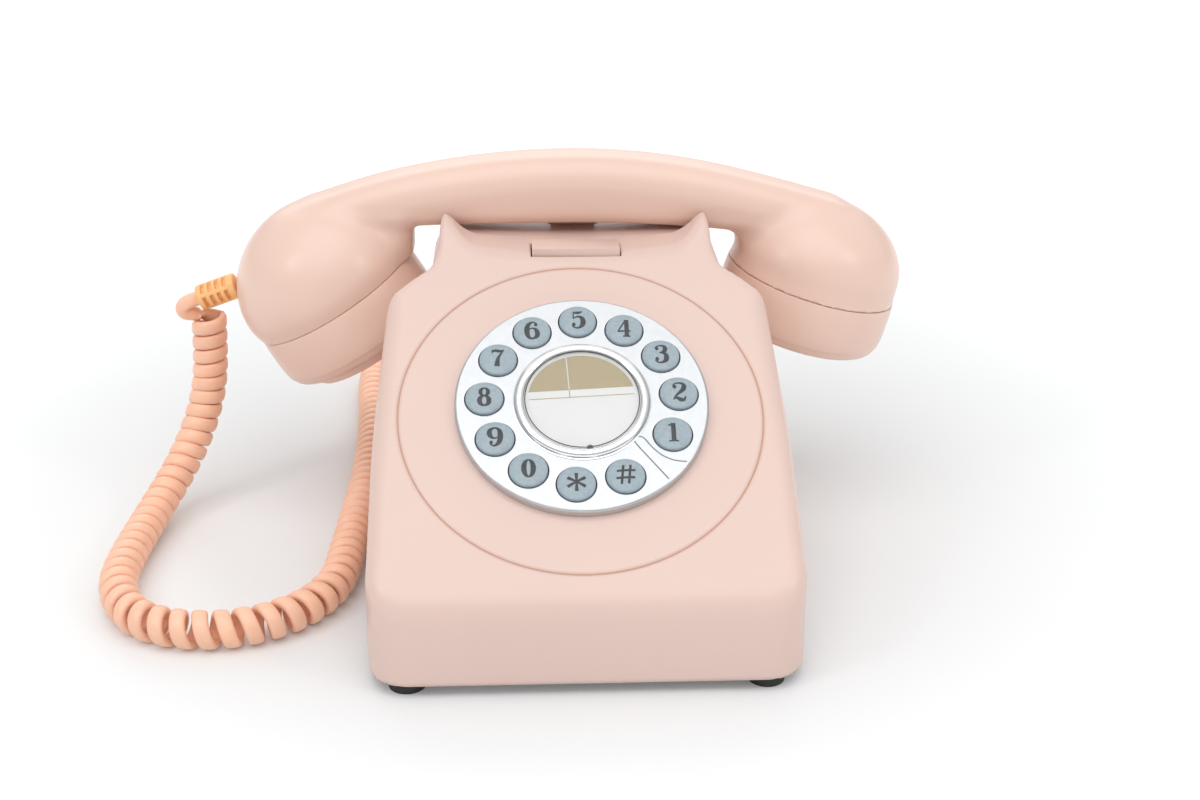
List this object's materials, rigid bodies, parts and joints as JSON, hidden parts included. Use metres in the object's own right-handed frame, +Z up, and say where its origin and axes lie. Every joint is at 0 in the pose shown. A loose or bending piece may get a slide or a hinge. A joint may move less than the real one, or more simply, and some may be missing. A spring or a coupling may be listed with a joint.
{
  "type": "push-button desk telephone",
  "caption": "Desk telephone with a sloping face, round push-button dial, cradle, lift-off handset on a curly cord, bell and hook switch inside.",
  "frame": {"origin": "on the table, under the middle of the telephone without its curly cord", "axes": "+X to the right of somebody facing the dial, +Y to the back, +Z up"},
  "size_m": [0.2859, 0.2854, 0.131],
  "materials": {
    "case_plastic": "smooth pale peach moulded plastic, semi-gloss",
    "dial_metal": "satin",
    "key_plastic": "satin",
    "label_card": "printed card",
    "clear_plastic": "clear",
    "grey_rubber": "matte",
    "steel": "zinc plated",
    "gong_brass": "satin",
    "board_laminate": "matte",
    "black_plastic": "matte",
    "relief_plastic": "satin",
    "cord_vinyl": "satin"
  },
  "bodies": {
    "base": {"ballast_plate": "steel", "base_plate": "steel", "board_pillars": "black_plastic", "board_screws": "steel", "case_screws": "steel", "case_shell": "case_plastic", "cord_gland": "relief_plastic", "cord_lead": "cord_vinyl", "dial_plate": "dial_metal", "dial_ring": "dial_metal", "gong_left": "gong_brass", "gong_right": "gong_brass", "gong_screws": "steel", "handset_cord": "cord_vinyl", "hook_bracket": "steel", "hook_spring": "steel", "hook_switch": "black_plastic", "key_mat": "grey_rubber", "keypad_board": "board_laminate", "keypad_screws": "steel", "label_lens": "clear_plastic", "line_jack": "black_plastic", "main_board": "board_laminate", "number_label": "label_card", "ringer_bracket": "steel", "ringer_coil": "black_plastic", "rubber_feet": "grey_rubber"},
    "handset": {"handset_shell": "case_plastic", "mouthpiece_cap": "case_plastic", "earpiece_cap": "case_plastic", "transmitter": "black_plastic", "receiver": "black_plastic", "handset_weight": "steel", "cord_relief": "relief_plastic"},
    "hook": {"hook_plunger": "case_plastic"},
    "key_1": {"key_1": "key_plastic"},
    "key_2": {"key_2": "key_plastic"},
    "key_3": {"key_3": "key_plastic"},
    "key_4": {"key_4": "key_plastic"},
    "key_5": {"key_5": "key_plastic"},
    "key_6": {"key_6": "key_plastic"},
    "key_7": {"key_7": "key_plastic"},
    "key_8": {"key_8": "key_plastic"},
    "key_9": {"key_9": "key_plastic"},
    "key_0": {"key_0": "key_plastic"},
    "key_star": {"key_star": "key_plastic"},
    "key_hash": {"key_hash": "key_plastic"},
    "clapper": {"clapper": "gong_brass"},
    "ringer_switch": {"ringer_switch": "black_plastic"}
  },
  "joints": [
    {"name": "handset_lift", "type": "slide", "parent": "base", "child": "handset", "axis": [0, 0, 1], "range_m": [0, 0.08]},
    {"name": "hook_rise", "type": "slide", "parent": "base", "child": "hook", "axis": [0, 0, 1], "range_m": [0, 0.004], "deforming": ["hook_spring"]},
    {"name": "key_1_press", "type": "slide", "parent": "base", "child": "key_1", "axis": [0, 0.5446, -0.8387], "range_m": [0, 0.0012], "stiffness_N_per_m": 600, "springref_m": -0.0005},
    {"name": "key_2_press", "type": "slide", "parent": "base", "child": "key_2", "axis": [0, 0.5446, -0.8387], "range_m": [0, 0.0012], "stiffness_N_per_m": 600, "springref_m": -0.0005},
    {"name": "key_3_press", "type": "slide", "parent": "base", "child": "key_3", "axis": [0, 0.5446, -0.8387], "range_m": [0, 0.0012], "stiffness_N_per_m": 600, "springref_m": -0.0005},
    {"name": "key_4_press", "type": "slide", "parent": "base", "child": "key_4", "axis": [0, 0.5446, -0.8387], "range_m": [0, 0.0012], "stiffness_N_per_m": 600, "springref_m": -0.0005},
    {"name": "key_5_press", "type": "slide", "parent": "base", "child": "key_5", "axis": [0, 0.5446, -0.8387], "range_m": [0, 0.0012], "stiffness_N_per_m": 600, "springref_m": -0.0005},
    {"name": "key_6_press", "type": "slide", "parent": "base", "child": "key_6", "axis": [0, 0.5446, -0.8387], "range_m": [0, 0.0012], "stiffness_N_per_m": 600, "springref_m": -0.0005},
    {"name": "key_7_press", "type": "slide", "parent": "base", "child": "key_7", "axis": [0, 0.5446, -0.8387], "range_m": [0, 0.0012], "stiffness_N_per_m": 600, "springref_m": -0.0005},
    {"name": "key_8_press", "type": "slide", "parent": "base", "child": "key_8", "axis": [0, 0.5446, -0.8387], "range_m": [0, 0.0012], "stiffness_N_per_m": 600, "springref_m": -0.0005},
    {"name": "key_9_press", "type": "slide", "parent": "base", "child": "key_9", "axis": [0, 0.5446, -0.8387], "range_m": [0, 0.0012], "stiffness_N_per_m": 600, "springref_m": -0.0005},
    {"name": "key_0_press", "type": "slide", "parent": "base", "child": "key_0", "axis": [0, 0.5446, -0.8387], "range_m": [0, 0.0012], "stiffness_N_per_m": 600, "springref_m": -0.0005},
    {"name": "key_star_press", "type": "slide", "parent": "base", "child": "key_star", "axis": [0, 0.5446, -0.8387], "range_m": [0, 0.0012], "stiffness_N_per_m": 600, "springref_m": -0.0005},
    {"name": "key_hash_press", "type": "slide", "parent": "base", "child": "key_hash", "axis": [0, 0.5446, -0.8387], "range_m": [0, 0.0012], "stiffness_N_per_m": 600, "springref_m": -0.0005},
    {"name": "clapper_swing", "type": "hinge", "parent": "base", "child": "clapper", "pos_m": [0, 0.04, 0.018], "axis": [0, 0, 1], "range_deg": [-8, 8]},
    {"name": "ringer_select", "type": "slide", "parent": "base", "child": "ringer_switch", "axis": [1, 0, 0], "range_m": [-0.004, 0.004]}
  ],
  "couplings": [
    {"joint": "hook_rise", "follows": "handset_lift", "ratio": 0.05}
  ]
}
